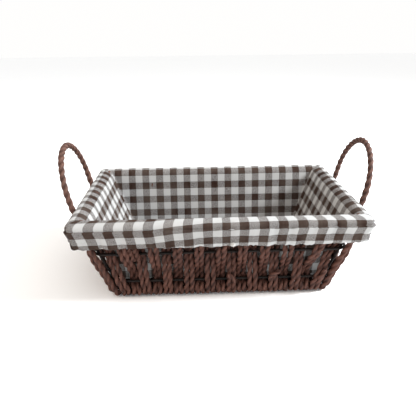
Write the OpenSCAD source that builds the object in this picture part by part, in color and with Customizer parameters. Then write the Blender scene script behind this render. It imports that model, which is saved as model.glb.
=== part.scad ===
// Bread basket: twisted paper rope woven on a welded wire frame, with two rope
// handles and a gingham liner turned down over the rim. Origin on the table
// under the middle of the basket, X along its length, front wall towards -Y.

/* [Basket] */
// Length over the liner at the rim
rim_l = 330; // [280:1:400]
// Width over the liner at the rim
rim_w = 216; // [190:1:260]
// Height of the rim above the table
height = 100; // [88:1:125]
// Length over the ropes at the table
base_l = 258; // [205:1:296]
// Width over the ropes at the table
base_w = 188; // [150:1:214]

/* [Wire frame] */
// Diameter of the frame wire
wire_d = 3; // [2.4:0.1:3.6]
// Corner radius of the rings, to the middle of the wire
corner_r = 12; // [11:1:16]
// Height of the upper ring
upper_ring_z = 56; // [46:1:62]
// Height of the lower ring
lower_ring_z = 19; // [18:1:26]

/* [Rope] */
// Diameter of the twisted rope
rope_d = 5.6; // [4.6:0.1:6.8]
// Free space between one pair of ropes and the next, at the base
pair_space = 0.6; // [0.4:0.1:3]
// Share of each long wall, from its middle, where the ropes stand upright
upright_share = 0.6; // [0.3:0.05:0.7]
// Length of the cut rope ends that stick out of the front wall
loose_end_l = 13; // [8:1:20]

/* [Handles] */
// Distance between the two legs of a handle, middle to middle
handle_span = 104; // [80:1:120]
// Straight length of a handle leg above its kink at the rim
handle_leg = 11; // [4:1:20]
// Thickness of the wrapped handle
handle_d = 6.6; // [5.4:0.1:8]
// Outward lean of the handles
handle_lean = 12.5; // [0:0.5:25]

/* [Liner] */
// Thickness of the cloth
cloth_t = 0.8; // [0.6:0.1:1.2]
// Drop of the cuff from the top of the rim to its hem
cuff_drop = 31; // [28:1:42]
// Thickness of the elastic in the hem
elastic_d = 2.4; // [1.8:0.1:3.2]

/* [Hidden] */

$fn = 48;
rope_colour = "#5b3026";
handle_colour = "#7a4a3a";
wire_colour = "#1c1716";
cloth_colour = "#d9d4cc";
check_colour = "#8d7268";

// Clearances
touch_gap = 0.1;
weave_gap = 0.35;
cloth_gap = 0.6;

// Rope section: a hexagon whose flats face its neighbours in the wall
sides = 6;
rope_corner_r = rope_d / 2 / cos(180 / sides);
pair_half = rope_d / 2 + touch_gap / 2;
pair_pitch = 4 * pair_half + pair_space;

// Distance of a rope's middle from a wire's middle, on a straight run and round a bend
rope_off = rope_corner_r + wire_d / 2 + weave_gap;
bend_r = rope_off + 0.3;
wall_half = rope_off + rope_corner_r;

// The liner rolls over the rim at this radius
roll_r = bend_r + rope_corner_r + cloth_gap;

// Heights
rim_z = height - roll_r - cloth_t;
base_z = bend_r + rope_corner_r;
floor_top = base_z + wire_d / 2 + rope_d + weave_gap;
liner_floor_z = floor_top + weave_gap;
hem_z = height - cuff_drop;

// Half length and half width of the wire planes at the base ring and at the rim wire
end_rim = rim_l / 2 - roll_r - cloth_t;
side_rim = rim_w / 2 - roll_r - cloth_t;
end_base = base_l / 2 - wall_half + base_z * (rim_l - base_l) / 2 / height;
side_base = base_w / 2 - wall_half + base_z * (rim_w - base_w) / 2 / height;
end_slope = (end_rim - end_base) / (rim_z - base_z);
side_slope = (side_rim - side_base) / (rim_z - base_z);
function end_at(z) = end_base + end_slope * (z - base_z);
function side_at(z) = side_base + side_slope * (z - base_z);

// Corner ropes stand on both sides of the corner post
corner_half = rope_corner_r + wire_d / 2 - 0.3;
corner_inset = corner_r * (1 - cos(45));
corner_inner = 1.3 * rope_off;

// Ropes of a wall keep clear of the corner ropes, outside them at the base and
// inside them at the rim; a wall has an odd number of pairs, an inner one at each end
base_clear = corner_inset + corner_half * cos(45) + rope_d + touch_gap + pair_half;
rim_clear = base_clear + corner_inner * cos(45) + rope_corner_r - rope_d / 2;
side_reach = end_base - base_clear;
end_reach = side_base - base_clear;
side_pairs = 2 * floor(side_reach / pair_pitch) + 1;
end_pairs = 2 * floor(end_reach / pair_pitch) + 1;

// A wall is [distance at base, distance at rim, reach at base, growth at rim, pairs]
side_wall = [side_base, side_rim, side_reach, end_rim - rim_clear - side_reach, side_pairs];
end_wall = [end_base, end_rim, end_reach, side_rim - rim_clear - end_reach, end_pairs];

// Angles of the half turn over the rim, and of the quarter turn under the base ring
rim_turn = [180, 135, 90, 45, 0];
base_turn = [0, -45, -90];

// Lean of a wall from upright
function lean(wall) = atan((wall[1] - wall[0]) / (rim_z - base_z));

// Height as a share of the way from the base ring to the rim wire
function rise(z) = (z - base_z) / (rim_z - base_z);

// Sideways place of a pair at the base, and what the fan adds near the corners; both
// legs of a pair move alike
function pair_place(wall, i) = -wall[2] + 2 * wall[2] * i / (wall[4] - 1);
function fan(wall, x) =
    let(step = 2 / (wall[4] - 1), u = step * round(abs(x) / wall[2] / step))
    sign(x) * wall[3] * pow(max(0, (u - upright_share) / (1 - upright_share)), 1.3);

// Place of a pair at the upper ring
function ring_place(wall, i) =
    let(x = pair_place(wall, i)) x + fan(wall, x) * rise(upper_ring_z);

// A point in the front wall's frame: x along the wall, out from the wire plane
function wall_point(wall, x, out, z) = [
    x + fan(wall, x) * rise(z),
    -(wall[0] + (wall[1] - wall[0]) * rise(z) + out * cos(lean(wall))),
    z - out * sin(lean(wall))
];

// A point on a turn round a wire of the wall at height z
function turn_point(wall, x, z, r, angle) =
    wall_point(wall, x, 0, z) + [0, -r * cos(angle), r * sin(angle)];

// One leg of a hairpin between rim and base; outer is 1 outside the upper ring, -1 inside
function leg_middle(wall, x, outer) = [
    wall_point(wall, x, outer * rope_off, upper_ring_z),
    wall_point(wall, x, -outer * rope_off, lower_ring_z)
];
function leg_foot(wall, x, outer) = concat(
    outer > 0
        ? [turn_point(wall, x, lower_ring_z, rope_off, 225), turn_point(wall, x, base_z, bend_r, 45)]
        : [],
    [for (a = base_turn) turn_point(wall, x, base_z, bend_r, a)]
);

function reversed(list) = [for (i = [len(list) - 1 : -1 : 0]) list[i]];

// A hairpin: up one leg, over the rim wire, down the other
function hairpin(wall, x, outer) =
    let(
        a = concat(leg_middle(wall, x - pair_half, outer), leg_foot(wall, x - pair_half, outer)),
        b = concat(leg_middle(wall, x + pair_half, outer), leg_foot(wall, x + pair_half, outer)),
        top = [for (t = rim_turn) turn_point(wall, x + pair_half * cos(t), rim_z, bend_r, t)]
    )
    concat(reversed(a), top, b);

function unit(v) = v / norm(v);
function along(p, i) = unit(p[min(i + 1, len(p) - 1)] - p[max(i - 1, 0)]);

// Rope swept along points; ref is a direction that the rope never runs along
module rope(p, ref, n = sides, turn = 180 / sides, d = rope_d / cos(180 / sides)) {
    r = d / 2;
    rings = [for (i = [0 : len(p) - 1])
        let(t = along(p, i), u = unit(ref - (ref * t) * t), v = cross(t, u))
        each [for (k = [0 : n - 1])
            p[i] + r * (cos(360 * k / n + turn) * u + sin(360 * k / n + turn) * v)]];
    last = (len(p) - 1) * n;
    skin = [for (i = [0 : len(p) - 2], k = [0 : n - 1]) each
        let(a = i * n + k, b = i * n + (k + 1) % n)
        [[a, a + n, b + n], [a, b + n, b]]];
    ends = [[for (k = [0 : n - 1]) k], [for (k = [n - 1 : -1 : 0]) last + k]];
    polyhedron(rings, concat(skin, ends));
}

// Every second pair of a wall: outer ones pass outside the upper ring
module wall_ropes(wall, outer) {
    first = outer > 0 ? 1 : 0;
    for (i = [first : 2 : wall[4] - 1])
        rope(hairpin(wall, pair_place(wall, i), outer), [1, 0, 0]);
}

// Closed ring of wire with rounded corners, on whole hundredths so that its parts meet
function hundredth(v) = round(v * 100) / 100;
module ring(far_x, far_y, z, d) {
    half_x = hundredth(far_x);
    half_y = hundredth(far_y);
    translate([0, 0, hundredth(z)]) {
        for (s = [-1, 1]) {
            translate([0, s * half_y, 0]) rotate([0, 90, 0])
                cylinder(d = d, h = 2 * (half_x - corner_r), center = true);
            translate([s * half_x, 0, 0]) rotate([90, 0, 0])
                cylinder(d = d, h = 2 * (half_y - corner_r), center = true);
        }
        for (q = [[1, 1, 0], [-1, 1, 90], [-1, -1, 180], [1, -1, 270]])
            translate([q[0] * (half_x - corner_r), q[1] * (half_y - corner_r), 0])
                rotate([0, 0, q[2]])
                    rotate_extrude(angle = 90) translate([corner_r, 0]) circle(d = d);
    }
}

module frame_ring(z) {
    color(wire_colour) ring(end_at(z), side_at(z), z, wire_d);
}

module rod(a, b, d) {
    v = b - a;
    translate(a)
        rotate([0, acos(v[2] / norm(v)), atan2(v[1], v[0])])
            cylinder(d = d, h = norm(v));
}

module rim_wire() { frame_ring(rim_z); }
module upper_ring_wire() { frame_ring(upper_ring_z); }
module lower_ring_wire() { frame_ring(lower_ring_z); }
module base_ring_wire() { frame_ring(base_z); }

// Middle of the wire at a corner, moved out along the diagonal
function corner_point(sx, sy, out, z) = [
    sx * (end_at(z) - corner_inset + out * cos(45)),
    sy * (side_at(z) - corner_inset + out * sin(45)),
    z
];

// Corner posts stand inside the rings and touch them
module post(sx, sy) {
    inside = -wire_d / cos(atan(norm([end_slope, side_slope])));
    color(wire_colour)
        rod(corner_point(sx, sy, inside, base_z), corner_point(sx, sy, inside, rim_z), wire_d);
}
module post_front_left() { post(-1, -1); }
module post_front_right() { post(1, -1); }
module post_back_left() { post(-1, 1); }
module post_back_right() { post(1, 1); }

// Floor wires run lengthwise and are welded to the base ring's ends, each at the
// middle of an outer pair, whose ropes pass outside the base ring
floor_wire_y = abs(pair_place(end_wall, 1));
module floor_wire(y) {
    end = hundredth(end_base) - wire_d / 2;
    z = hundredth(base_z);
    color(wire_colour) rod([-end, y, z], [end, y, z], wire_d);
}
module floor_wire_front() { floor_wire(-floor_wire_y); }
module floor_wire_middle() { floor_wire(0); }
module floor_wire_back() { floor_wire(floor_wire_y); }

// Wrapping where the upper ring's ends meet, in the last gap of the front wall
splice_l = 6;
splice_wall = 1.2;
module ring_splice() {
    gap_x = (ring_place(side_wall, side_pairs - 2) + ring_place(side_wall, side_pairs - 1)) / 2;
    color(wire_colour)
        translate([gap_x, -side_at(upper_ring_z), upper_ring_z])
            rotate([0, 90, 0])
                difference() {
                    cylinder(d = wire_d + 2 * splice_wall, h = splice_l, center = true);
                    cylinder(d = wire_d, h = 2 * splice_l, center = true);
                }
}

module front_outer_ropes() { color(rope_colour) wall_ropes(side_wall, 1); }
module front_inner_ropes() { color(rope_colour) wall_ropes(side_wall, -1); }
module back_outer_ropes() { color(rope_colour) rotate([0, 0, 180]) wall_ropes(side_wall, 1); }
module back_inner_ropes() { color(rope_colour) rotate([0, 0, 180]) wall_ropes(side_wall, -1); }
module right_outer_ropes() { color(rope_colour) rotate([0, 0, 90]) wall_ropes(end_wall, 1); }
module right_inner_ropes() { color(rope_colour) rotate([0, 0, 90]) wall_ropes(end_wall, -1); }
module left_outer_ropes() { color(rope_colour) rotate([0, 0, 270]) wall_ropes(end_wall, 1); }
module left_inner_ropes() { color(rope_colour) rotate([0, 0, 270]) wall_ropes(end_wall, -1); }

// Hairpin over a corner: its legs pass outside the upper ring on both sides of the post
module corner_rope(sx, sy) {
    side = [sx * cos(45), -sy * cos(45), 0];
    out = [sx * cos(45), sy * cos(45), 0];
    legs = [for (s = [1, -1])
        concat(
            [corner_point(sx, sy, rope_off, upper_ring_z) + s * corner_half * side,
             corner_point(sx, sy, rope_off, lower_ring_z) + s * corner_half * side],
            [for (a = base_turn)
                corner_point(sx, sy, 0, base_z) + s * corner_half * side
                    + bend_r * (cos(a) * out + [0, 0, sin(a)])]
        )];
    top = [for (a = rim_turn)
        corner_point(sx, sy, 0, rim_z) - corner_half * cos(a) * side
            + bend_r * (cos(a) * out + [0, 0, sin(a)])
            - (a > 90 ? (corner_inner - bend_r) * -cos(a) * out : [0, 0, 0])];
    color(rope_colour) rope(concat(reversed(legs[0]), top, legs[1]), side);
}
module corner_rope_front_left() { corner_rope(-1, -1); }
module corner_rope_front_right() { corner_rope(1, -1); }
module corner_rope_back_left() { corner_rope(-1, 1); }
module corner_rope_back_right() { corner_rope(1, 1); }

// Floor ropes carry each leg on from the front wall to the back wall under the base ring.
// The low-edge ones climb over the outer floor wires, the others over the middle one.
floor_low = rope_d / 2;
floor_high = base_z + wire_d / 2 + rope_d / 2 + weave_gap;
flat_half = rope_d;
crest_half = rope_d / 2;
low_end = side_base - rope_corner_r * sin(22.5) - touch_gap;
function both_ways(half) = concat([for (p = half) [-p[0], p[1]]], reversed(half));
function low_edge_path(x) =
    [for (p = both_ways([
        [low_end, floor_low], [low_end - flat_half, floor_low],
        [floor_wire_y + crest_half, floor_high], [floor_wire_y - crest_half, floor_high],
        [flat_half, floor_low]]))
        [x, p[0], p[1]]];
function high_edge_path(x) =
    [for (p = both_ways([
        [low_end, floor_low], [floor_wire_y - flat_half, floor_low],
        [crest_half, floor_high]]))
        [x, p[0], p[1]]];
module floor_ropes(first) {
    for (i = [first : 2 : side_pairs - 1], s = [-1, 1]) {
        x = pair_place(side_wall, i) + s * pair_half;
        if (first == 1) rope(low_edge_path(x), [1, 0, 0], 8, 22.5, rope_d / cos(22.5));
        else rope(high_edge_path(x), [1, 0, 0], 8, 22.5, rope_d / cos(22.5));
    }
}
module floor_ropes_low_edge() { color(rope_colour) floor_ropes(1); }
module floor_ropes_high_edge() { color(rope_colour) floor_ropes(0); }

// A short hairpin fills the fan of the front wall beside its first outer pair, down to
// just below the upper ring
module short_rope_pair() {
    x = pair_place(side_wall, 1);
    legs = [for (s = [-1, 1])
        [for (z = [upper_ring_z - rope_d, upper_ring_z + rope_d])
            wall_point(side_wall, x + s * pair_half, rope_off, z)]];
    top = [for (t = rim_turn) turn_point(side_wall, x + pair_half * cos(t), rim_z, bend_r, t)];
    color(rope_colour)
        translate([4 * pair_half + touch_gap, 0, 0])
            rope(concat(legs[0], top, reversed(legs[1])), [1, 0, 0]);
}

// Cut rope ends that lie on the inner pairs of the front wall near the lower ring
inner_lean = atan(2 * rope_off / (upper_ring_z - lower_ring_z));
function inner_pair_out(z) =
    rope_off * (1 - 2 * (z - lower_ring_z) / (upper_ring_z - lower_ring_z));
module loose_rope_ends() {
    middle = 2 * round(side_pairs / 4);
    color(rope_colour)
        for (e = [[middle + 4, 30, 55], [middle, 27, -40], [side_pairs - 1, 27, 10]])
            translate(wall_point(
                side_wall, pair_place(side_wall, e[0]),
                inner_pair_out(e[1]) + rope_corner_r + rope_d / 2 + weave_gap, e[1]))
                rotate([lean(side_wall) - inner_lean, e[2], 0])
                    cylinder(d = rope_d, h = loose_end_l, center = true, $fn = 8);
}

// Handles, modelled on the front of a wall whose wire plane is end_at(z) away
end_lean = atan(end_slope);
leg_off = wall_half + handle_d / 2 + touch_gap;
kink_z = rim_z + roll_r / 2;
leg_end_z = hem_z + wire_d + 1;
function leg_point(s, z) = [s * handle_span / 2, -(end_at(z) + leg_off / cos(end_lean)), z];

// Middle line of a handle from one leg's end to the other's
function handle_line(tail) =
    let(
        leg = [for (z = [leg_end_z - tail, (leg_end_z + kink_z) / 2, kink_z - 3]) leg_point(1, z)],
        bow = [for (a = [0 : 10 : 180])
            leg_point(0, kink_z) + [
                handle_span / 2 * cos(a),
                -sin(handle_lean) * (handle_leg + handle_span / 2 * sin(a)),
                cos(handle_lean) * (handle_leg + handle_span / 2 * sin(a))]]
    )
    concat(leg, bow, [for (p = reversed(leg)) [-p[0], p[1], p[2]]]);

// Tube swept along points, with a hole of its own
module tube(p, ref, d, hole, n = 12) {
    function rings_of(r) = [for (i = [0 : len(p) - 1])
        let(t = along(p, i), u = unit(ref - (ref * t) * t), v = cross(t, u))
        each [for (k = [0 : n - 1])
            p[i] + r * (cos(360 * k / n) * u + sin(360 * k / n) * v)]];
    m = len(p) * n;
    last = m - n;
    outer = [for (i = [0 : len(p) - 2], k = [0 : n - 1]) each
        let(a = i * n + k, b = i * n + (k + 1) % n)
        [[a, a + n, b + n], [a, b + n, b]]];
    inner = [for (f = outer) [m + f[2], m + f[1], m + f[0]]];
    ends = [for (k = [0 : n - 1]) each
        let(j = (k + 1) % n)
        [[k, j, m + j, m + k], [last + j, last + k, m + last + k, m + last + j]]];
    polyhedron(concat(rings_of(d / 2), rings_of(hole / 2)), concat(outer, inner, ends));
}
module handle_wire() {
    color(wire_colour) rope(handle_line(wire_d), [0, 1, 0.3], 12, 0, wire_d);
}
module handle_rope() {
    color(handle_colour) tube(handle_line(0), [0, 1, 0.3], handle_d, wire_d + touch_gap);
}

// Half loops that tie each leg to the wall under the cuff
tie_d = 1.6;
module handle_ties() {
    color(handle_colour)
        for (s = [-1, 1], z = [leg_end_z + 5, kink_z - 10])
            translate(leg_point(s, z))
                rotate([end_lean, 0, 0])
                    rotate_extrude(angle = 180, start = 180)
                        translate([handle_d / 2 + tie_d / 2, 0]) circle(d = tie_d);
}
module right_handle_wire() { rotate([0, 0, 90]) handle_wire(); }
module right_handle_rope() { rotate([0, 0, 90]) handle_rope(); }
module right_handle_ties() { rotate([0, 0, 90]) handle_ties(); }
module left_handle_wire() { rotate([0, 0, 270]) handle_wire(); }
module left_handle_rope() { rotate([0, 0, 270]) handle_rope(); }
module left_handle_ties() { rotate([0, 0, 270]) handle_ties(); }

// Liner. A profile is a list of [half length, half width, height], one line round the
// basket for each entry; a panel is the part of the cloth between two profiles.
function wall_profile(r) = [
    [end_at(liner_floor_z) - r, side_at(liner_floor_z) - r, liner_floor_z],
    [end_at(rim_z) - r, side_at(rim_z) - r, rim_z]
];
function cuff_profile(r) = concat(
    [for (a = [180 : -30 : 0])
        [end_rim + r * cos(a), side_rim + r * cos(a), rim_z + r * sin(a)]],
    [[end_at(hem_z) + r, side_at(hem_z) + r, hem_z]]
);

// Quads cut into triangles
function halves(quads) = [for (q = quads) each [[q[0], q[1], q[2]], [q[0], q[2], q[3]]]];

// Solid cloth between two profiles, on the wall that faces the given side
module panel(p, q, turned) {
    n = len(p);
    a = turned ? 1 : 0;
    lay = [for (c = [p, q], s = [-1, 1], v = c) [s * v[a], -v[1 - a], v[2]]];
    skin = [for (i = [0 : n - 2]) each halves([
        [i, i + 1, n + i + 1, n + i],
        [2 * n + i, 3 * n + i, 3 * n + i + 1, 2 * n + i + 1],
        [i, 2 * n + i, 2 * n + i + 1, i + 1],
        [n + i, n + i + 1, 3 * n + i + 1, 3 * n + i]])];
    ends = halves([[0, n, 3 * n, 2 * n], [n - 1, 3 * n - 1, 4 * n - 1, 2 * n - 1]]);
    polyhedron(lay, concat(skin, ends));
}
module liner_wall(turned) {
    color(cloth_colour)
        panel(wall_profile(roll_r), wall_profile(roll_r + cloth_t), turned);
}
module cuff(turned) {
    panel(cuff_profile(roll_r + cloth_t), cuff_profile(roll_r), turned);
}
module liner_floor() {
    r = roll_r + cloth_t;
    color(check_colour)
        translate([0, 0, liner_floor_z])
            linear_extrude(height = cloth_t)
                square([2 * (end_at(liner_floor_z) - r), 2 * (side_at(liner_floor_z) - r)], center = true);
}
module liner_front() { liner_wall(false); }
module liner_back() { rotate([0, 0, 180]) liner_wall(false); }
module liner_right() { rotate([0, 0, 90]) liner_wall(true); }
module liner_left() { rotate([0, 0, 270]) liner_wall(true); }
module cuff_front() { color(cloth_colour) cuff(false); }
module cuff_back() { color(cloth_colour) rotate([0, 0, 180]) cuff(false); }

// The end cuffs are slit for the handle legs, and a pocket of cloth covers each slit
pocket_half = handle_d / 2 + 1.4;
pocket_out = leg_off + handle_d / 2 + tie_d + 0.4;
module at_leg_foot(s) {
    translate([s * handle_span / 2, -end_at(hem_z), hem_z]) rotate([end_lean, 0, 0]) children();
}
module end_cuff() {
    slit = (rim_z + roll_r / 2 - hem_z) / cos(end_lean);
    color(cloth_colour)
        difference() {
            cuff(true);
            for (s = [-1, 1])
                at_leg_foot(s)
                    translate([-pocket_half, -pocket_out, -pocket_out])
                        cube([2 * pocket_half, pocket_out - wall_half, slit + pocket_out]);
        }
}
module leg_pockets() {
    near = (roll_r + cloth_t) * cos(end_lean) + touch_gap;
    wide = pocket_half + cloth_t;
    foot = (pocket_out + cloth_t) * tan(end_lean);
    color(cloth_colour)
        for (s = [-1, 1])
            at_leg_foot(s) translate([0, 0, foot])
                linear_extrude(height = (rim_z - hem_z) / cos(end_lean) - foot)
                    polygon([
                        [-wide, -near], [-wide, -pocket_out - cloth_t],
                        [wide, -pocket_out - cloth_t], [wide, -near],
                        [pocket_half, -near], [pocket_half, -pocket_out],
                        [-pocket_half, -pocket_out], [-pocket_half, -near]
                    ]);
}
module cuff_right() { rotate([0, 0, 90]) end_cuff(); }
module cuff_left() { rotate([0, 0, 270]) end_cuff(); }
module right_leg_pockets() { rotate([0, 0, 90]) leg_pockets(); }
module left_leg_pockets() { rotate([0, 0, 270]) leg_pockets(); }

// Elastic round the hem, and the knot that gathers it at the front
elastic_z = hem_z - elastic_d / 2 - touch_gap;
elastic_out = roll_r + cloth_t + elastic_d / 2;
module hem_elastic() {
    color(cloth_colour)
        ring(end_at(elastic_z) + elastic_out, side_at(elastic_z) + elastic_out, elastic_z, elastic_d);
}
module elastic_knot() {
    color(cloth_colour)
        translate([12, -(side_at(hem_z) + elastic_out + elastic_d), hem_z + 1])
            sphere(d = 2.2 * elastic_d);
}

rim_wire();
upper_ring_wire();
lower_ring_wire();
base_ring_wire();
post_front_left();
post_front_right();
post_back_left();
post_back_right();
floor_wire_front();
floor_wire_middle();
floor_wire_back();
ring_splice();
front_outer_ropes();
front_inner_ropes();
back_outer_ropes();
back_inner_ropes();
left_outer_ropes();
left_inner_ropes();
right_outer_ropes();
right_inner_ropes();
corner_rope_front_left();
corner_rope_front_right();
corner_rope_back_left();
corner_rope_back_right();
floor_ropes_low_edge();
floor_ropes_high_edge();
short_rope_pair();
loose_rope_ends();
left_handle_wire();
left_handle_rope();
left_handle_ties();
right_handle_wire();
right_handle_rope();
right_handle_ties();
liner_floor();
liner_front();
liner_back();
liner_left();
liner_right();
cuff_front();
cuff_back();
cuff_left();
cuff_right();
left_leg_pockets();
right_leg_pockets();
hem_elastic();
elastic_knot();
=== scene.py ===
import bpy
import numpy as np
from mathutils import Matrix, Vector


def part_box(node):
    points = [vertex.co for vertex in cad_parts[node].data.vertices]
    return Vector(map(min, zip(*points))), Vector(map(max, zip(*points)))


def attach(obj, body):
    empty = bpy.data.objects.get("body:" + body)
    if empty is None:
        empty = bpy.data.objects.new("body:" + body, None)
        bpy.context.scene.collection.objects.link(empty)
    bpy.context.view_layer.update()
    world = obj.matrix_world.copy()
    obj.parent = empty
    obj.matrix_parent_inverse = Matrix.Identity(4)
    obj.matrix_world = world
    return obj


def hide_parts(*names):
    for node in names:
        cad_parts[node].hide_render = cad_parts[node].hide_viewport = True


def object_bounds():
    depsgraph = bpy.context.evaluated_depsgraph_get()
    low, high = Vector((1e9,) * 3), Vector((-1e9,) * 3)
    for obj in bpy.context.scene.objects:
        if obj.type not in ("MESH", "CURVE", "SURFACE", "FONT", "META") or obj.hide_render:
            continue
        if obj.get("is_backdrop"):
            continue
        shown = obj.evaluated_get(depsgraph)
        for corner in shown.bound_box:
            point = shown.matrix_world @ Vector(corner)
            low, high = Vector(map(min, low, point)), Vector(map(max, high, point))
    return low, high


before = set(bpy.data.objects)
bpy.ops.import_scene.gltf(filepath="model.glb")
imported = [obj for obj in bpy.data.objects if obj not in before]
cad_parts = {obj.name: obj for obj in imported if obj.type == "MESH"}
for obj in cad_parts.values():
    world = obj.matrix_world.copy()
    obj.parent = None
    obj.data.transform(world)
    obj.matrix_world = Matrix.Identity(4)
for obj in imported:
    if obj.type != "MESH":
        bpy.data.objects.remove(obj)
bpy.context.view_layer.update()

# ---- Camera
# It stands a little left of the middle and looks down into the basket over its front wall.
place = np.array([-0.0294, -0.5371, 0.2819])
yaw, pitch, roll = np.radians([-2.01, 21.33, -0.62])
level_ahead = np.array([-np.sin(yaw), np.cos(yaw), 0.0])
level_right = np.array([np.cos(yaw), np.sin(yaw), 0.0])
world_up = np.array([0.0, 0.0, 1.0])
ahead = level_ahead * np.cos(pitch) - world_up * np.sin(pitch)
over = world_up * np.cos(pitch) + level_ahead * np.sin(pitch)
to_right = level_right * np.cos(roll) + over * np.sin(roll)
to_top = over * np.cos(roll) - level_right * np.sin(roll)
stand = np.eye(4)
stand[:3, 0], stand[:3, 1], stand[:3, 2], stand[:3, 3] = to_right, to_top, -ahead, place
camera = bpy.data.objects.new("camera", bpy.data.cameras.new("camera"))
camera.data.lens, camera.data.sensor_width = 38.62, 36.0
camera.data.clip_start, camera.data.clip_end = 0.02, 20.0
camera.matrix_world = [list(row) for row in stand.T]
bpy.context.scene.collection.objects.link(camera)
bpy.context.scene.camera = camera

# ---- Light
# A soft lamp high on the right, weak ones in front and on the left, and white surroundings.
scene = bpy.context.scene
scene.view_settings.view_transform = "Standard"
world = bpy.data.worlds.new("surroundings")
world.use_nodes = True
world.node_tree.nodes["Background"].inputs["Color"].default_value = (1.0, 0.995, 0.985, 1.0)
world.node_tree.nodes["Background"].inputs["Strength"].default_value = 1.0
scene.world = world


def soft_lamp(name, position, aim, size, power, colour):
    """Square lamp at position whose face is turned to aim."""
    lamp = bpy.data.lights.new(name, "AREA")
    lamp.shape, lamp.size, lamp.energy, lamp.color = "SQUARE", size, power, colour
    piece = bpy.data.objects.new(name, lamp)
    z = np.array(position, float) - np.array(aim, float)
    z /= np.linalg.norm(z)
    x = np.cross([0.0, 0.0, 1.0], z)
    x /= np.linalg.norm(x)
    turn = np.eye(4)
    turn[:3, 0], turn[:3, 1], turn[:3, 2], turn[:3, 3] = x, np.cross(z, x), z, position
    piece.matrix_world = [list(row) for row in turn.T]
    scene.collection.objects.link(piece)


soft_lamp("right_lamp", (1.15, -0.12, 0.82), (0, 0, 0.05), 0.35, 44.0, (0.95, 0.98, 1.0))
soft_lamp("left_lamp", (-1.1, -0.4, 0.55), (0, 0, 0.05), 0.5, 5.0, (1.0, 0.78, 0.58))
soft_lamp("front_lamp", (0.5, -1.3, 0.9), (0, 0, 0.05), 0.6, 1.2, (1.0, 0.985, 0.97))


# ---- Floor
# Plain white paper floor that the basket stands on.
def add_mesh(name, points, faces, uv=None, values=None, smooth=True):
    """Mesh from an array of points and a list of face arrays; uv holds one pair for each corner."""
    mesh = bpy.data.meshes.new(name)
    corners = np.concatenate([f.ravel() for f in faces]).astype(np.int32)
    counts = np.concatenate([np.full(len(f), f.shape[1]) for f in faces])
    starts = np.concatenate([[0], np.cumsum(counts)[:-1]]).astype(np.int32)
    mesh.vertices.add(len(points))
    mesh.vertices.foreach_set("co", np.asarray(points, np.float32).ravel())
    mesh.loops.add(len(corners))
    mesh.loops.foreach_set("vertex_index", corners)
    mesh.polygons.add(len(counts))
    mesh.polygons.foreach_set("loop_start", starts)
    mesh.polygons.foreach_set("use_smooth", np.full(len(counts), smooth))
    if uv is not None:
        mesh.uv_layers.new(name="cloth").data.foreach_set("uv", np.asarray(uv, np.float32).ravel())
    for key, data in (values or {}).items():
        marks = mesh.attributes.new(key, "FLOAT", "POINT").data
        marks.foreach_set("value", np.asarray(data, np.float32).ravel())
    mesh.update(calc_edges=True)
    mesh.validate()
    piece = bpy.data.objects.new(name, mesh)
    scene.collection.objects.link(piece)
    return piece


def new_material(name, **settings):
    """Principled material with the given socket values; gives its node tree and its shader node."""
    material = bpy.data.materials.new(name)
    material.use_nodes = True
    shader = material.node_tree.nodes["Principled BSDF"]
    for socket, value in settings.items():
        shader.inputs[socket.replace("_", " ")].default_value = value
    return material, material.node_tree, shader


reach_out = 6.0
corner = reach_out * np.array([[-1, -1, 0], [1, -1, 0], [1, 1, 0], [-1, 1, 0]])
floor = add_mesh("floor", corner, [np.array([[0, 1, 2, 3]])], smooth=False)
paper, tree, shader = new_material("floor_paper", Base_Color=(0.95, 0.955, 0.96, 1), Roughness=0.9)
floor.data.materials.append(paper)
floor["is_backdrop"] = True


# ---- Frame wire
# Thin steel rings, posts and floor wires, spot-welded and dipped in near-black paint.
# The rope hides most of it; it shows in the gaps of the wall and where rope is worn away.
def grain_group():
    """Cloudy grain: fine noise and coarse noise, each mapped to a mask between 0 and 1."""
    group = bpy.data.node_groups.new("cloudy grain", "ShaderNodeTree")
    for label, kind, side in (
        ("Vector", "NodeSocketVector", "INPUT"), ("Fine", "NodeSocketFloat", "INPUT"),
        ("Coarse", "NodeSocketFloat", "INPUT"), ("Fine Mask", "NodeSocketFloat", "OUTPUT"),
        ("Coarse Mask", "NodeSocketFloat", "OUTPUT"),
    ):
        group.interface.new_socket(name=label, in_out=side, socket_type=kind)
    nodes, links = group.nodes, group.links
    into, out = nodes.new("NodeGroupInput"), nodes.new("NodeGroupOutput")
    for label in ("Fine", "Coarse"):
        noise = nodes.new("ShaderNodeTexNoise")
        noise.inputs["Detail"].default_value = 4.0
        spread = nodes.new("ShaderNodeMapRange")
        spread.inputs["From Min"].default_value, spread.inputs["From Max"].default_value = 0.3, 0.7
        links.new(into.outputs["Vector"], noise.inputs["Vector"])
        links.new(into.outputs[label], noise.inputs["Scale"])
        links.new(noise.outputs["Fac"], spread.inputs["Value"])
        links.new(spread.outputs["Result"], out.inputs[label + " Mask"])
    return group


cloudy_grain = grain_group()


def use_group(tree, group, **values):
    """Places the group in a material's tree with the given input values."""
    node = tree.nodes.new("ShaderNodeGroup")
    node.node_tree = group
    for socket, value in values.items():
        node.inputs[socket.replace("_", " ")].default_value = value
    return node


def mix_colour(tree, amount, first, second):
    """Colour mixed from first to second by a linked amount; either may be a socket or a colour."""
    node = tree.nodes.new("ShaderNodeMix")
    node.data_type = "RGBA"
    tree.links.new(amount, node.inputs["Factor"])
    for key, value in (("A", first), ("B", second)):
        socket = [s for s in node.inputs if s.name == key and s.type == "RGBA"][0]
        if isinstance(value, tuple):
            socket.default_value = (*value, 1.0)
        else:
            tree.links.new(value, socket)
    return [s for s in node.outputs if s.type == "RGBA"][0]


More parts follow.
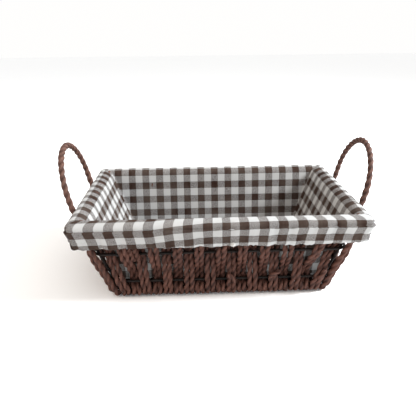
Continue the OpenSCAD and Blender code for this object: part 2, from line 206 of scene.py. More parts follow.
def calculate(tree, operation, first, second=None, third=None):
    """Math node; each operand is a socket or a number."""
    node = tree.nodes.new("ShaderNodeMath")
    node.operation = operation
    for socket, value in zip(node.inputs, (first, second, third)):
        if value is None:
            continue
        if isinstance(value, (int, float)):
            socket.default_value = value
        else:
            tree.links.new(value, socket)
    return node.outputs[0]


def bump_from(tree, shader, height, distance, strength=1.0):
    """Bump node from a height socket into the shader's normal."""
    bump = tree.nodes.new("ShaderNodeBump")
    bump.inputs["Distance"].default_value = distance
    bump.inputs["Strength"].default_value = strength
    tree.links.new(height, bump.inputs["Height"])
    tree.links.new(bump.outputs["Normal"], shader.inputs["Normal"])


wire_paint, tree, shader = new_material("wire_paint", Roughness=0.5, Specular_IOR_Level=0.12)
coordinate = tree.nodes.new("ShaderNodeTexCoord").outputs["Object"]
grain = use_group(tree, cloudy_grain, Fine=900.0, Coarse=60.0)
tree.links.new(coordinate, grain.inputs["Vector"])
shade = mix_colour(tree, grain.outputs["Coarse Mask"], (0.006, 0.0045, 0.004), (0.018, 0.012, 0.010))
tree.links.new(shade, shader.inputs["Base Color"])
rough = calculate(tree, "MULTIPLY_ADD", grain.outputs["Fine Mask"], 0.25, 0.35)
tree.links.new(rough, shader.inputs["Roughness"])
bump_from(tree, shader, grain.outputs["Fine Mask"], 0.0001)
wire_nodes = [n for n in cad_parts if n.endswith("_wire") or n.startswith(("post_", "floor_wire"))]
for name in wire_nodes + ["ring_splice", "left_handle_ties", "right_handle_ties"]:
    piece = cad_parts[name]
    piece.data.materials.clear()
    piece.data.materials.append(wire_paint)

# ---- Walls of rope
# Twisted paper rope, two plies laid together, woven upright in and out of the frame's rings.
# Each pair is one hairpin of rope that hangs over the rim wire and turns in at the floor.
wire_radius = 0.0015
rope_radius = 0.0031
rope_lay = 0.021
rope_step = 0.0011
pair_half = 0.00285
rope_off = 0.005083
bend_radius = 0.005383
corner_radius = 0.012
upright_share = 0.6
side_pairs, end_pairs = 19, 13


def ring_of(node):
    """Half length, half width and height of a ring's middle line."""
    low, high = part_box(node)
    return high[0] - wire_radius, high[1] - wire_radius, (low[2] + high[2]) / 2


rim_end, rim_side, rim_z = ring_of("rim_wire")
base_end, base_side, base_z = ring_of("base_ring_wire")
upper_z, lower_z = ring_of("upper_ring_wire")[2], ring_of("lower_ring_wire")[2]


def end_at(z):
    """Half length of the wire plane at height z: a straight line from base ring to rim wire."""
    return base_end + (rim_end - base_end) * (z - base_z) / (rim_z - base_z)


def side_at(z):
    """Half width of the wire plane at height z, a straight line too."""
    return base_side + (rim_side - base_side) * (z - base_z) / (rim_z - base_z)


corner_inset = corner_radius * (1 - np.cos(np.pi / 4))
corner_half = 0.004433
base_clear = corner_inset + corner_half * np.cos(np.pi / 4) + 0.0057 + pair_half
rim_clear = base_clear + 1.3 * rope_off * np.cos(np.pi / 4) + 0.000433


class Wall:
    """Distance of the wire plane at base and rim, the pairs' reach at the base, the fan's growth."""

    def __init__(self, near, far, base_across, rim_across, pairs, turn):
        self.near, self.far, self.reach = near, far, base_across - base_clear
        self.growth = rim_across - rim_clear - self.reach
        self.pairs, self.turn = pairs, np.radians(turn)
        self.lean = np.arctan2(far - near, rim_z - base_z)

    def places(self):
        """Middles of the pairs at the base, evenly from one corner to the other."""
        return np.linspace(-self.reach, self.reach, self.pairs)

    def point(self, x, out, z):
        """Point in space: x along the wall plus the fan near its ends, out from the wire plane."""
        x, out, z = np.broadcast_arrays(*(np.asarray(v, float) for v in (x, out, z)))
        step = 2 / (self.pairs - 1)
        share = step * np.round(np.abs(x) / self.reach / step)
        spread = np.clip((share - upright_share) / (1 - upright_share), 0, None) ** 1.3
        rise = (z - base_z) / (rim_z - base_z)
        along = x + np.sign(x) * self.growth * spread * rise
        depth = -(self.near + (self.far - self.near) * rise + out * np.cos(self.lean))
        c, s = np.cos(self.turn), np.sin(self.turn)
        return np.stack([along * c - depth * s, along * s + depth * c, z - out * np.sin(self.lean)], -1)

    def turned(self, x, radius, z, angle):
        """Point round the wall's wire at height z; angle 0 is straight out, 90 degrees is above it."""
        ring = self.point(x, 0, z)
        out = radius * np.cos(angle)[..., None] * np.array([np.sin(self.turn), -np.cos(self.turn), 0])
        return ring + out + radius * np.sin(angle)[..., None] * np.array([0, 0, 1])


walls = {
    "front": Wall(base_side, rim_side, base_end, rim_end, side_pairs, 0),
    "right": Wall(base_end, rim_end, base_side, rim_side, end_pairs, 90),
    "back": Wall(base_side, rim_side, base_end, rim_end, side_pairs, 180),
    "left": Wall(base_end, rim_end, base_side, rim_side, end_pairs, 270),
}


def smooth_line(points, step):
    """Smooth curve through points, cut into equal steps: on each span a cubic whose end
    tangents are the mean slopes of the two spans that meet there, weighted by their length."""
    p = np.asarray(points, float)
    gap = np.linalg.norm(np.diff(p, axis=0), axis=1)[:, None]
    slope = np.diff(p, axis=0) / gap
    inner = (slope[:-1] * gap[1:] + slope[1:] * gap[:-1]) / (gap[1:] + gap[:-1])
    tangent = np.vstack([slope[:1], inner, slope[-1:]])
    t = np.linspace(0, 1, 24, endpoint=False)[None, :, None]
    a, b, h = p[:-1, None], p[1:, None], gap[:, None]
    ta, tb = tangent[:-1, None] * h, tangent[1:, None] * h
    curve = (a * (2 * t**3 - 3 * t**2 + 1) + ta * (t**3 - 2 * t**2 + t)
             + b * (3 * t**2 - 2 * t**3) + tb * (t**3 - t**2))
    curve = np.vstack([curve.reshape(-1, 3), p[-1:]])
    length = np.concatenate([[0], np.cumsum(np.linalg.norm(np.diff(curve, axis=0), axis=1))])
    even = np.linspace(0, length[-1], max(4, int(length[-1] / step) + 1))
    return np.column_stack([np.interp(even, length, curve[:, k]) for k in range(3)])


def twisted_rope(line, reference, radius, lay, phase, sides=20, ply_share=0.31):
    """Two plies round each other along a line. The section is two overlapping circles, so its
    radius is c |cos a| + sqrt(b^2 - c^2 sin^2 a), and it turns once every lay of length. Fine
    folds of the paper run the other way round each ply. The ends are closed with low cones."""
    ahead = np.gradient(line, axis=0)
    ahead /= np.linalg.norm(ahead, axis=1)[:, None]
    side = np.asarray(reference, float) - (ahead @ np.asarray(reference, float))[:, None] * ahead
    side /= np.linalg.norm(side, axis=1)[:, None]
    lift = np.cross(ahead, side)
    length = np.concatenate([[0], np.cumsum(np.linalg.norm(np.diff(line, axis=0), axis=1))])
    swell = 1 + 0.035 * np.sin(length / 0.0171 + 7 * phase) + 0.025 * np.sin(length / 0.0063 + 3 * phase)
    around = np.linspace(0, 2 * np.pi, sides, endpoint=False)[None]
    middle, ply = ply_share, 1 - ply_share
    shape = middle * np.abs(np.cos(around)) + np.sqrt(ply**2 - (middle * np.sin(around)) ** 2)
    lowest = np.sqrt(ply**2 - middle**2)
    crown = (shape - lowest) / (1 - lowest) + 0 * length[:, None]
    folds = 0.022 * np.sin(5 * around + 2 * np.pi * length[:, None] / lay * 3 + phase)
    folds = folds + 0.014 * np.sin(9 * around - 2 * np.pi * length[:, None] / lay * 4.3 + 2 * phase)
    r = radius * swell[:, None] * (shape + folds * crown)
    turn = around + 2 * np.pi * length[:, None] / lay + phase
    points = line[:, None] + r[..., None] * (
        np.cos(turn)[..., None] * side[:, None] + np.sin(turn)[..., None] * lift[:, None])
    rows, count = len(line), len(line) * sides
    i, k = np.meshgrid(np.arange(rows - 1), np.arange(sides), indexing="ij")
    after = (k + 1) % sides
    quads = np.stack([i * sides + k, i * sides + after, (i + 1) * sides + after, (i + 1) * sides + k], -1)
    corner_i, corner_k = np.stack([i, i, i + 1, i + 1], -1), np.stack([k, k + 1, k + 1, k], -1)
    quad_uv = np.stack([corner_k / sides, length[corner_i]], -1)
    tips = np.vstack([line[:1] - ahead[:1] * radius * 0.25, line[-1:] + ahead[-1:] * radius * 0.25])
    k = np.arange(sides)
    start_cap = np.stack([(k + 1) % sides, k, np.full(sides, count)], -1)
    last = (rows - 1) * sides
    end_cap = np.stack([last + k, last + (k + 1) % sides, np.full(sides, count + 1)], -1)
    cap_uv = np.zeros((2 * sides, 3, 2)) + [0.5, phase]
    return {
        "points": np.vstack([points.reshape(-1, 3), tips]),
        "quads": quads.reshape(-1, 4), "tris": np.vstack([start_cap, end_cap]),
        "uv": [quad_uv.reshape(-1, 2), cap_uv.reshape(-1, 2)],
        "crown": np.concatenate([crown.ravel(), [0.6, 0.6]]),
        "tint": np.full(count + 2, (phase * 0.731) % 1.0),
    }


def rope_piece(name, ropes, material, node):
    """One piece from several ropes, standing for one CAD node."""
    shift = np.cumsum([0] + [len(r["points"]) for r in ropes])[:-1]
    piece = add_mesh(
        name, np.vstack([r["points"] for r in ropes]),
        [np.vstack([r["quads"] + s for r, s in zip(ropes, shift)]),
         np.vstack([r["tris"] + s for r, s in zip(ropes, shift)])],
        uv=np.vstack([r["uv"][0] for r in ropes] + [r["uv"][1] for r in ropes]),
        values={key: np.concatenate([r[key] for r in ropes]) for key in ("crown", "tint")})
    piece.data.materials.append(material)
    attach(piece, "root")
    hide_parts(node)
    return piece


def rope_material(name, painted_groove_shade, middle, light, painted_crown_highlight):
    """Dyed twisted paper with painted shade dark in the grooves and a painted highlight flecked on
    the crowns of the plies, with fine fibres along each ply and a slow change of tone from rope to rope."""
    material, tree, shader = new_material(name, Roughness=0.7, Specular_IOR_Level=0.22)

    def scaled(value, by, plus=0.0):
        """A value times a number or another value, plus a third."""
        return calculate(tree, "MULTIPLY_ADD", value, by, plus)

    crown, tint = (tree.nodes.new("ShaderNodeAttribute") for _ in range(2))
    crown.attribute_name, tint.attribute_name = "crown", "tint"
    crown, tint = crown.outputs["Fac"], tint.outputs["Fac"]
    uv = tree.nodes.new("ShaderNodeUVMap")
    uv.uv_map = "cloth"
    apart = tree.nodes.new("ShaderNodeSeparateXYZ")
    tree.links.new(uv.outputs["UV"], apart.inputs["Vector"])
    # Fibres: noise stretched along the ply
    fibre_at = tree.nodes.new("ShaderNodeCombineXYZ")
    along, round_it = apart.outputs["Y"], apart.outputs["X"]
    tree.links.new(scaled(along, 330.0, scaled(round_it, 26.0)), fibre_at.inputs["X"])
    tree.links.new(scaled(round_it, 14.0, scaled(tint, 50.0)), fibre_at.inputs["Y"])
    fibre = tree.nodes.new("ShaderNodeTexNoise")
    fibre.inputs["Scale"].default_value, fibre.inputs["Detail"].default_value = 1.6, 3.0
    tree.links.new(fibre_at.outputs["Vector"], fibre.inputs["Vector"])
    fibre = fibre.outputs["Fac"]
    coordinate = tree.nodes.new("ShaderNodeTexCoord").outputs["Object"]
    grain = use_group(tree, cloudy_grain, Fine=1500.0, Coarse=110.0)
    tree.links.new(coordinate, grain.inputs["Vector"])
    fine, coarse = grain.outputs["Fine Mask"], grain.outputs["Coarse Mask"]
    # Painted shade: darkest colour in the grooves between the plies, rising to the middle colour on the
    # crowns, broken up by the fibres
    depth = calculate(tree, "POWER", scaled(fibre, 0.5, scaled(crown, 0.75)), 1.5)
    colour = mix_colour(tree, depth, painted_groove_shade, middle)
    colour = mix_colour(tree, scaled(coarse, scaled(tint, 0.5, 0.35)), colour, light)
    # Painted highlight: a pale colour flecked over the crests of the plies with the fine grain
    painted_highlight_mask = scaled(calculate(tree, "POWER", crown, 3.0), scaled(fine, 0.3))
    tree.links.new(mix_colour(tree, painted_highlight_mask, colour, painted_crown_highlight), shader.inputs["Base Color"])
    tree.links.new(scaled(fibre, -0.25, 0.75), shader.inputs["Roughness"])
    bump_from(tree, shader, scaled(fine, 0.3, fibre), 0.0006, 0.8)
    return material


# The darkest colour is painted shade for the grooves and the palest is a painted highlight for the crowns
wall_rope = rope_material(
    "wall_rope", painted_groove_shade=(0.006, 0.0022, 0.0016), middle=(0.062, 0.021, 0.014),
    light=(0.105, 0.040, 0.027), painted_crown_highlight=(0.22, 0.12, 0.09))
rim_turn = np.radians([180, 135, 90, 45, 0])
crest_share = 0.88
base_turn = np.radians([0, -45, -90])


def hairpin(wall, place, outer, wobble):
    """Line of one hairpin: up one leg, half a turn over the rim wire, down the other leg. An
    outer pair passes outside the upper ring and inside the lower one, an inner pair the other way
    round, and both turn round under the base ring."""
    legs = []
    for s, w in ((-1, wobble[0]), (1, wobble[1])):
        x = place + s * pair_half
        leg = [wall.point(x + w[0], outer * rope_off, upper_z + 0.002),
               wall.point(x + w[1], -outer * rope_off, lower_z)]
        if outer > 0:
            leg += [wall.turned(x + w[1], rope_off, lower_z, np.radians(225)),
                    wall.turned(x, bend_radius, base_z, np.radians(45))]
        legs.append(leg + list(wall.turned(x, bend_radius, base_z, base_turn)))
    top = wall.turned(place + pair_half * np.cos(rim_turn), bend_radius, rim_z, rim_turn)
    top[:, 2] = rim_z + crest_share * (top[:, 2] - rim_z)
    return smooth_line(legs[0][::-1] + list(top) + legs[1], rope_step)


chance = np.random.default_rng(21)
for side_name, wall in walls.items():
    ref = (np.cos(wall.turn), np.sin(wall.turn), 0.0)
    for kind, outer in (("outer", 1), ("inner", -1)):
        ropes = []
        for x in wall.places()[int(outer > 0)::2]:
            wobble = chance.uniform(-0.0006, 0.0006, (2, 2))
            size = rope_radius * chance.uniform(0.96, 1.04)
            ropes.append(twisted_rope(hairpin(wall, x, outer, wobble), ref, size,
                                      rope_lay * chance.uniform(0.92, 1.1), chance.uniform(0, 6.28)))
        name = f"{side_name}_wall_{kind}_rope"
        rope_piece(name, ropes, wall_rope, f"{side_name}_{kind}_ropes")

# ---- Corner ropes
# At each corner one hairpin hangs over the rim, a leg on either side of the welded post.
corner_inner = 1.15 * rope_off


def at_corner(sx, sy, out, z):
    """Point on the corner's diagonal, moved out from the wire's middle."""
    push = -corner_inset + out * np.cos(np.pi / 4)
    return np.stack([sx * (end_at(z) + push), sy * (side_at(z) + push), z + 0 * push], -1)


for sx, sy in ((-1, -1), (1, -1), (-1, 1), (1, 1)):
    beside = np.array([sx, -sy, 0]) * np.cos(np.pi / 4)
    legs = []
    for s in (1, -1):
        foot = at_corner(sx, sy, bend_radius * np.cos(base_turn), base_z + 0 * base_turn)
        foot[:, 2] += bend_radius * np.sin(base_turn)
        leg = np.vstack([at_corner(sx, sy, rope_off, upper_z), at_corner(sx, sy, rope_off, lower_z), foot])
        legs.append(list(leg + s * corner_half * beside))
    back_off = np.where(rim_turn > np.pi / 2, corner_inner, bend_radius)
    top = at_corner(sx, sy, back_off * np.cos(rim_turn), rim_z + 0 * rim_turn)
    top[:, 2] += crest_share * bend_radius * np.sin(rim_turn)
    top -= corner_half * np.cos(rim_turn)[:, None] * beside
    line = smooth_line(legs[0][::-1] + list(top) + legs[1], rope_step)
    rope = twisted_rope(line, beside, 1.06 * rope_radius, rope_lay, chance.uniform(0, 6.28))
    name = f"{'front' if sy < 0 else 'back'}_{'left' if sx < 0 else 'right'}"
    rope_piece(f"{name}_corner_hairpin", [rope], wall_rope, f"corner_rope_{name}")

# ---- Floor ropes
# Each wall rope runs on under the basket, over and under the three floor wires.
floor_low, floor_high = 0.0028, base_z + wire_radius + 0.0028 + 0.00035
floor_wire_y = abs(walls["right"].places()[1])
low_end = base_side - 0.001337
low_half = [(low_end, floor_low), (low_end - 0.0056, floor_low), (floor_wire_y + 0.0028, floor_high),
            (floor_wire_y - 0.0028, floor_high), (0.0056, floor_low)]
high_half = [(low_end, floor_low), (floor_wire_y - 0.0056, floor_low), (0.0028, floor_high)]
low_rows, high_rows = ([(-y, z) for y, z in half] + half[::-1] for half in (low_half, high_half))
for kind, rows, first in (("low_edge", low_rows, 1), ("high_edge", high_rows, 0)):
    ropes = []
    for x in walls["front"].places()[first::2]:
        for s in (-1, 1):
            line = smooth_line([(x + s * pair_half, y, z) for y, z in rows], 0.0018)
            line[:, 2] = np.maximum(line[:, 2], floor_low + 0.0001)
            ropes.append(twisted_rope(line, (1, 0, 0), 0.0027, rope_lay, chance.uniform(0, 6.28), sides=14))
    rope_piece(f"floor_{kind}_rope", ropes, wall_rope, f"floor_ropes_{kind}")

# ---- Short pair and loose ends
# A short hairpin fills the fan of the front wall, and a few cut rope ends, tucked in where one
# length of rope ran out, lie on the inner pairs.
front = walls["front"]
beside_outer_pair = 0.0115
leg_rows = ((upper_z - 0.0050, 0.0012), (upper_z + 0.0056, 0.0), (0.5 * (upper_z + rim_z), 0.0))
legs = [[front.point(front.places()[1] + s * pair_half + lean, rope_off, z) for z, lean in leg_rows]
        for s in (-1, 1)]
top = front.turned(front.places()[1] + pair_half * np.cos(rim_turn), bend_radius, rim_z, rim_turn)
top[:, 2] = rim_z + crest_share * (top[:, 2] - rim_z)
line = smooth_line(np.array(legs[0] + list(top) + legs[1][::-1]) + [beside_outer_pair, 0, 0], rope_step)
rope = twisted_rope(line, (1, 0, 0), 0.0029, 0.0118, 2.2)
rope_piece("short_hairpin", [rope], wall_rope, "short_rope_pair")
ropes = []
end_length = 0.013
for index, z, turn in ((14, 0.030, 55), (10, 0.027, -40), (18, 0.027, 10)):
    out = rope_off * (1 - 2 * (z - lower_z) / (upper_z - lower_z)) + 0.0061
    middle = front.point(front.places()[index], out, z)
    up = front.point(front.places()[index], out, z + 0.001) - middle
    turn = np.radians(turn)
    along = up / np.linalg.norm(up) * np.cos(turn) + np.array([1, 0, 0]) * np.sin(turn)
    half = np.linspace(-0.5, 0.5, 14)[:, None] * end_length
    line = middle + half * along + 3 * half**2 * [0, -1, 0]
    ropes.append(twisted_rope(line, (1, 0.2, 0), 0.0027, rope_lay, index))
rope_piece("loose_ends", ropes, wall_rope, "loose_rope_ends")

# ---- Handles
# A stout wire wrapped in the same rope, in slightly lighter colours with a paler painted highlight on its
# crowns. Its legs go down under the cuff.
handle_radius = 0.0037
handle_lay = 0.0185
handle_span, handle_leg, handle_lean = 0.104, 0.011, np.radians(12.5)
leg_off, kink_z, leg_end_z = 0.011716, rim_z + 0.004808, 0.073
end_lean = np.arctan2(rim_end - base_end, rim_z - base_z)
# Painted shade in the grooves and a painted highlight on the crowns, as on the wall rope
handle_rope = rope_material(
    "handle_rope", painted_groove_shade=(0.010, 0.004, 0.003), middle=(0.066, 0.026, 0.018),
    light=(0.12, 0.055, 0.04), painted_crown_highlight=(0.30, 0.19, 0.15))


def handle_line(side):
    """Line of a handle: up one straight leg, round half a circle that leans out, down the other."""
    a = np.radians(np.arange(0, 181, 10))
    legs = np.array([leg_end_z, (leg_end_z + kink_z) / 2, kink_z - 0.003])
    out = lambda z: end_at(z) + leg_off / np.cos(end_lean)
    leg = np.stack([out(legs), 0 * legs + handle_span / 2, legs], -1)
    bow = np.stack([
        out(kink_z) + np.sin(handle_lean) * (handle_leg + handle_span / 2 * np.sin(a)),
        handle_span / 2 * np.cos(a),
        kink_z + np.cos(handle_lean) * (handle_leg + handle_span / 2 * np.sin(a))], -1)
    line = np.vstack([leg, bow, leg[::-1] * [1, -1, 1]])
    return smooth_line(line * [side, 1, 1], 0.0009)


for name, side in (("left", -1), ("right", 1)):
    rope = twisted_rope(handle_line(side), (1, 0.0, 0.3), handle_radius, handle_lay, 2.0 + side,
                        sides=28, ply_share=0.24)
    rope_piece(f"{name}_handle_twist", [rope], handle_rope, f"{name}_handle_rope")

# ---- Liner
# Brown and white gingham, sewn to the basket's shape, turned down over the rim as a cuff with
# elastic in its hem. Each side is one cut of cloth from the floor up, over the rim and down.
roll = 0.009616
floor_cloth_z, hem_z = 0.01682, 0.0722
check = 0.020
thread = 0.00055
casing_rows = 11
casing_z, casing_off, casing_radius = hem_z - 0.0013, roll + 0.0012, 0.0018
four_walls = (("front", False, 0), ("right", True, 90), ("back", False, 180), ("left", True, 270))


def smoothstep(x, low, high):
    """0 below low, 1 above high, and 3 t^2 - 2 t^3 between."""
    t = np.clip((x - low) / (high - low), 0, 1)
    return t * t * (3 - 2 * t)


def path_of_cloth():
    """Offset from the wire plane and height along the cloth, from the floor up the inside, round
    the rim at the roll's radius, down the cuff, and round under the elastic in its hem. Gives
    them with the distance from the top of the rim, minus inside and plus outside."""
    up = np.linspace(floor_cloth_z, rim_z, 56)[:-1]
    turn = np.linspace(np.pi, 0, 25)
    down = np.linspace(rim_z, casing_z, 34)[1:]
    share = (rim_z - down) / (rim_z - down[-1])
    belly = 0.0012 * smoothstep(share, 0.55, 1.0)
    under = np.radians(np.linspace(0, -150, casing_rows + 1))[1:]
    off = np.concatenate([-roll + 0 * up, roll * np.cos(turn), roll + casing_radius + belly,
                          casing_off + casing_radius * np.cos(under)])
    z = np.concatenate([up, rim_z + 0.86 * roll * np.sin(turn), down,
                        down[-1] + casing_radius * np.sin(under)])
    slant = off + (rim_side - base_side) / (rim_z - base_z) * z
    run = np.concatenate([[0], np.cumsum(np.hypot(np.diff(slant), np.diff(z)))])
    top = len(up) + 12
    return off, z, run - run[top]


cloth_off, cloth_z, cloth_v = path_of_cloth()


def cloth_grid(turned, off, z, straight, arc):
    """Grid of cloth along one wall: at each height z and offset off from the wire plane, a row
    runs straight between half a round corner at either end, with a bend that grows a little
    with the offset. Gives points and the signed run along each row."""
    angle = np.linspace(-np.pi / 4, 0, arc)[:-1]
    flat = np.linspace(-1, 1, straight)
    flat, angle = np.r_[0 * angle - 1, flat, 0 * angle + 1], np.r_[angle, 0 * flat, -angle[::-1]]
    far = (side_at(z) if turned else end_at(z)) + off
    near = (end_at(z) if turned else side_at(z)) + off
    bend = 0.0045 + 0.10 * np.maximum(off, 0)
    far, near, bend = far[:, None], near[:, None], bend[:, None]
    x = flat * (far - bend) + bend * np.sin(angle)
    y = -(near - bend) - bend * np.cos(angle)
    run = flat * (far - bend) + bend * angle
    return np.stack([x, y, z[:, None] + 0 * x], -1), run


def on_wall(points, turn):
    """Points of the front wall's frame turned about the upright axis onto another wall."""
    c, s = np.cos(turn), np.sin(turn)
    return points @ np.array([[c, s, 0], [-s, c, 0], [0, 0, 1]])


def outward(points):
    """Unit normals of a grid, from the cross product of its two directions."""
    n = np.cross(np.gradient(points, axis=1), np.gradient(points, axis=0))
    return n / np.linalg.norm(n, axis=-1)[..., None]


def creases(run, v, marks):
    """Sum of soft ridges. Each has a place, a slant, a width, a height, and a middle and a
    spread along v: height * exp(-((run - place - slant v) / width)^2) * exp(-((v - mid) / spread)^2)."""
    total = np.zeros_like(run)
    for start in range(0, len(marks), 8):
        at, slant, width, height, mid, spread = marks[start:start + 8].T[:, :, None, None]
        ridge = np.exp(-((run - at - slant * (v - mid)) / width) ** 2)
        total += (height * ridge * np.exp(-((v - mid) / spread) ** 2)).sum(0)
    return total


def gingham_group():
    """Plain weave of brown and white yarn. A yarn is brown where the cosine of its place over
    the check's repeat is above zero; warp and weft take turns on top from yarn to yarn."""
    group = bpy.data.node_groups.new("gingham weave", "ShaderNodeTree")
    for label, kind, side in (
        ("Vector", "NodeSocketVector", "INPUT"), ("Repeat", "NodeSocketFloat", "INPUT"),
        ("Yarn", "NodeSocketFloat", "INPUT"), ("Dark", "NodeSocketColor", "INPUT"),
        ("Light", "NodeSocketColor", "INPUT"), ("Color", "NodeSocketColor", "OUTPUT"),
        ("Height", "NodeSocketFloat", "OUTPUT"),
    ):
        group.interface.new_socket(name=label, in_out=side, socket_type=kind)
    nodes, links = group.nodes, group.links
    into, out = nodes.new("NodeGroupInput"), nodes.new("NodeGroupOutput")
    apart = nodes.new("ShaderNodeSeparateXYZ")
    links.new(into.outputs["Vector"], apart.inputs["Vector"])
    yarns, dark, streak = {}, {}, {}
    for axis in ("X", "Y"):
        yarns[axis] = calculate(group, "DIVIDE", apart.outputs[axis], into.outputs["Yarn"])
        number = calculate(group, "FLOOR", yarns[axis])
        middle = calculate(group, "MULTIPLY", calculate(group, "ADD", number, 0.5), into.outputs["Yarn"])
        turns = calculate(group, "DIVIDE", middle, into.outputs["Repeat"])
        wave = calculate(group, "COSINE", calculate(group, "MULTIPLY", turns, 2 * np.pi))
        dark[axis] = calculate(group, "GREATER_THAN", wave, 0.0)
        white = nodes.new("ShaderNodeTexWhiteNoise")
        white.noise_dimensions = "1D"
        links.new(number, white.inputs["W"])
        streak[axis] = calculate(group, "MULTIPLY", white.outputs["Value"], 0.07)
    count = calculate(group, "ADD", *(calculate(group, "FLOOR", yarns[axis]) for axis in "XY"))
    parity = calculate(group, "MODULO", count, 2.0)
    parity = calculate(group, "GREATER_THAN", calculate(group, "ABSOLUTE", parity), 0.5)
    tones, bodies = {}, {}
    for axis in ("X", "Y"):
        tone = mix_colour(group, dark[axis], into.outputs["Light"], into.outputs["Dark"])
        across = dark["Y" if axis == "X" else "X"]
        tone = mix_colour(group, calculate(group, "MULTIPLY", across, 0.3), tone, into.outputs["Dark"])
        tones[axis] = mix_colour(group, streak[axis], tone, (0.26, 0.2, 0.175))
        half_turns = calculate(group, "MULTIPLY", yarns[axis], np.pi)
        bodies[axis] = calculate(group, "ABSOLUTE", calculate(group, "SINE", half_turns))
    links.new(mix_colour(group, parity, tones["X"], tones["Y"]), out.inputs["Color"])
    x_body, y_body = (
        calculate(group, "MULTIPLY", bodies[a], calculate(group, "MULTIPLY_ADD", bodies[b], 0.4, 0.6))
        for a, b in ("XY", "YX"))
    swap = calculate(group, "MULTIPLY", parity, calculate(group, "SUBTRACT", y_body, x_body))
    links.new(calculate(group, "ADD", x_body, swap), out.inputs["Height"])
    return group


gingham_weave = gingham_group()


def gingham_material(name):
    """The liner's cotton: weave from the cloth's own run in metres, slubs and faint soiling."""
    material, tree, shader = new_material(name, Roughness=0.9)
    shader.inputs["Specular IOR Level"].default_value = 0.03
    uv = tree.nodes.new("ShaderNodeUVMap")
    uv.uv_map = "cloth"
    weave = use_group(tree, gingham_weave, Repeat=check, Yarn=thread,
                      Dark=(0.020, 0.0085, 0.0058, 1), Light=(0.42, 0.425, 0.425, 1))
    tree.links.new(uv.outputs["UV"], weave.inputs["Vector"])
    grain = use_group(tree, cloudy_grain, Fine=2200.0, Coarse=45.0)
    tree.links.new(tree.nodes.new("ShaderNodeTexCoord").outputs["Object"], grain.inputs["Vector"])
    soil = calculate(tree, "MULTIPLY", grain.outputs["Coarse Mask"], 0.10)
    colour = mix_colour(tree, soil, weave.outputs["Color"], (0.42, 0.37, 0.32))
    tree.links.new(colour, shader.inputs["Base Color"])
    height = calculate(tree, "MULTIPLY_ADD", grain.outputs["Fine Mask"], 0.25, weave.outputs["Height"])
    bump_from(tree, shader, height, 0.00018, 0.7)
    return material


gingham = gingham_material("gingham")
cloth_thickness = 0.0007


def grid_quads(rows, columns):
    """Quads of a grid of rows by columns, wound so that they face the grid's outward normal."""
    i, j = np.meshgrid(np.arange(rows - 1), np.arange(columns - 1), indexing="ij")
    a = i * columns + j
    return np.stack([a, a + 1, a + columns + 1, a + columns], -1).reshape(-1, 4)


def wall_cloth(name, turn, u, v, points, nodes):
    """One wall's cloth: the grid turned into place and given thickness, half on each side."""
    points = on_wall(points, turn)
    quads = grid_quads(*points.shape[:2])
    uv = np.stack([u, v], -1).reshape(-1, 2)[quads.ravel()]
    piece = add_mesh(name, points.reshape(-1, 3), [quads], uv=uv)
    piece.data.materials.append(gingham)
    thick = piece.modifiers.new("thickness", "SOLIDIFY")
    thick.thickness, thick.offset = cloth_thickness, 0.0
    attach(piece, "root")
    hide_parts(*nodes)
    return piece


def front_rows(x):
    """Distance from the top of the rim to the first brown row, which climbs from left to right."""
    along = [-0.17, -0.075, -0.05, -0.014, 0.09, 0.17]
    return np.interp(x, along, [0.0185, 0.018, 0.0145, 0.0118, 0.011, 0.013])


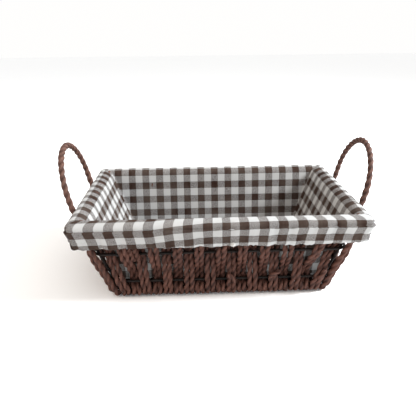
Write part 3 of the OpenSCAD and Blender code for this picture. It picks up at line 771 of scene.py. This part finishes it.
pocket_rise = 0.0082
leg_hole, leg_hole_reach, leg_hole_bottom = 0.0038, 0.0062, 0.0905
between = chance.uniform
for name, turned, turn in four_walls:
    points, run = cloth_grid(turned, cloth_off, cloth_z, 150 if turned else 220, 14)
    v = cloth_v[:, None] + 0 * run
    widest = run[:, -1:]
    rim_row = int(np.argmin(np.abs(cloth_v)))
    stretch = np.where(cloth_v[:, None] > 0, widest[rim_row] / widest, 1.0)
    u = run * stretch
    marks = []
    if turned:
        # Tension creases from the rim down to the floor
        for at in between(-0.085, 0.085, 16):
            marks.append([at, -0.15 * at / 0.09, between(0.0018, 0.0034), between(-0.0011, 0.0012),
                          between(-0.065, -0.03), between(0.02, 0.045)])
    else:
        # Shallow waves of a loose wall
        for at in between(-0.15, 0.15, 14):
            marks.append([at, between(-0.2, 0.2), between(0.004, 0.010), between(-0.0006, 0.0006),
                          between(-0.08, -0.01), between(0.012, 0.03)])
    hem_v = cloth_v[-casing_rows - 1]
    reach = 0.1 if turned else 0.16
    # Short gathers along the hem, and longer folds of the cuff
    for at in np.arange(-reach, reach, 0.0068):
        marks.append([at + between(-0.002, 0.002), between(-0.12, 0.12), between(0.0014, 0.0028),
                      between(-0.0013, 0.0016), hem_v + 0.001, between(0.006, 0.016)])
    for at in np.arange(-reach, reach, 0.017):
        marks.append([at + between(-0.006, 0.006), between(-0.25, 0.25), between(0.0025, 0.0055),
                      between(-0.0008, 0.0016), between(0.012, 0.03), between(0.008, 0.016)])
    lift = creases(u, v, np.array(marks))
    # Seam of the hem's casing: a groove 8.5 mm above the edge
    stitch = np.exp(-((v - (hem_v - 0.0085)) / 0.0009) ** 2)
    lift += -0.0008 * stitch
    lift = np.where(v > 0.004, np.maximum(lift, -0.0009), lift)
    # The cloth is tight over the rim
    lift *= 1 - 0.75 * np.exp(-(v / 0.009) ** 2)
    if turned:
        for s in (-1, 1):
            across = np.abs(u - s * handle_span / 2)
            bulge = 1 - smoothstep(across, 0.0036, 0.0105)
            lift += pocket_rise * bulge * smoothstep(v, 0.004, 0.0125)
    normal = outward(points)
    points = points + normal * lift[..., None]
    if turned:
        # Opened round each leg of the handle
        for s in (-1, 1):
            z = points[..., 2]
            axis_y = -(end_at(z) + leg_off / np.cos(end_lean))
            dx, dy = points[..., 0] - s * handle_span / 2, points[..., 1] - axis_y
            near = np.hypot(dx, dy) + 1e-9
            inside = (near < leg_hole_reach) & (z > leg_hole_bottom) & (v > 0)
            grown = np.where(inside, leg_hole + near * (leg_hole_reach - leg_hole) / leg_hole_reach, near)
            points[..., 0] = s * handle_span / 2 + dx * grown / near
            points[..., 1] = axis_y + dy * grown / near
    if name == "front":
        x = points[..., 0]
        columns = u - 0.0057 + 0.0024 * smoothstep(x, -0.005, 0.02)
        rows = v - front_rows(x)
        rows = np.where(rows > 0, rows * 1.25, rows)
    elif name == "back":
        columns, rows = u + 0.0024, v + 0.0095
    else:
        columns, rows = u + 0.001, v + 0.0065
    nodes = [f"liner_{name}", f"cuff_{name}"] + ([f"{name}_leg_pockets"] if turned else [])
    wall_cloth(f"{name}_liner_cloth", np.radians(turn), columns, rows, points, nodes)

# Floor of the liner
# A plain rectangle of the same cloth, lying on the floor ropes and sewn in round its edge.
low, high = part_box("liner_floor")
x, y = np.meshgrid(np.linspace(low[0], high[0], 120), np.linspace(low[1], high[1], 80))
waves = 20
marks = np.column_stack([
    between(-0.1, 0.1, waves), between(-0.6, 0.6, waves), between(0.004, 0.012, waves),
    between(0.0001, 0.0009, waves), between(-0.06, 0.06, waves), between(0.01, 0.04, waves)])
points = np.stack([x, y, (low[2] + high[2]) / 2 + creases(x, y, marks)], -1)
quads = grid_quads(*points.shape[:2])
uv = np.stack([x + 0.0024, y + 0.004], -1).reshape(-1, 2)[quads.ravel()]
floor_cloth = add_mesh("liner_floor_cloth", points.reshape(-1, 3), [quads], uv=uv)
floor_cloth.data.materials.append(gingham)
thick = floor_cloth.modifiers.new("thickness", "SOLIDIFY")
thick.thickness, thick.offset = cloth_thickness, 0.0
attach(floor_cloth, "root")
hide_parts("liner_floor")

# ---- Hem elastic and its knot
# Round elastic runs in the hem; at the front it is drawn up in a small white knot of cloth.
hem_cloth, tree, shader = new_material(
    "hem_cotton", Roughness=0.85, Sheen_Weight=0.2, Base_Color=(0.78, 0.77, 0.75, 1))
grain = use_group(tree, cloudy_grain, Fine=2500.0, Coarse=160.0)
tree.links.new(tree.nodes.new("ShaderNodeTexCoord").outputs["Object"], grain.inputs["Vector"])
colour = mix_colour(tree, grain.outputs["Coarse Mask"], (0.50, 0.495, 0.48), (0.36, 0.34, 0.32))
tree.links.new(colour, shader.inputs["Base Color"])
bump_from(tree, shader, grain.outputs["Fine Mask"], 0.0002, 0.6)
loop = []
for name, turned, turn in four_walls:
    points, run = cloth_grid(turned, np.array([casing_off]), np.array([casing_z]), 60, 8)
    loop.append(on_wall(points[0, :-1], np.radians(turn)))
loop = np.vstack(loop + [loop[0][:1]])
cord = twisted_rope(loop, (0, 0, 1), 0.0011, 0.02, 0.5, sides=10, ply_share=0.05)
rope_piece("hem_elastic_cord", [cord], hem_cloth, "hem_elastic")
low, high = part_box("elastic_knot")
middle, radius = (np.array(low) + np.array(high)) / 2, float(high[0] - low[0]) / 2 * 0.8
middle = middle + [0, -0.0008, 0.0022]
rows, sides = 24, 48
tilt, around = np.meshgrid(np.linspace(0.05, np.pi - 0.05, rows),
                           np.linspace(0, 2 * np.pi, sides + 1)[:-1], indexing="ij")
pleats = 1 + 0.16 * np.cos(7 * around + 2 * tilt) * np.sin(tilt)
knot = middle + radius * 1.15 * pleats[..., None] * np.stack(
    [np.sin(tilt) * np.cos(around), 0.8 * np.cos(tilt), np.sin(tilt) * np.sin(around)], -1)
i, k = np.meshgrid(np.arange(rows - 1), np.arange(sides), indexing="ij")
i, after = i * sides, (k + 1) % sides
quads = np.stack([i + k, i + sides + k, i + sides + after, i + after], -1).reshape(-1, 4)
k, last = np.arange(sides), (rows - 1) * sides
after, tip = (k + 1) % sides, np.full(sides, rows * sides)
caps = np.vstack([np.stack([after, k, tip], -1), np.stack([last + k, last + after, tip + 1], -1)])
tips = middle + np.array([[0, 0.8, 0], [0, -0.8, 0]]) * radius * 1.05
knot_piece = add_mesh("hem_knot", np.vstack([knot.reshape(-1, 3), tips]), [quads, caps])
knot_piece.data.materials.append(hem_cloth)
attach(knot_piece, "root")
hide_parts("elastic_knot")

# ---- Size of the finished model
low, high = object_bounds()
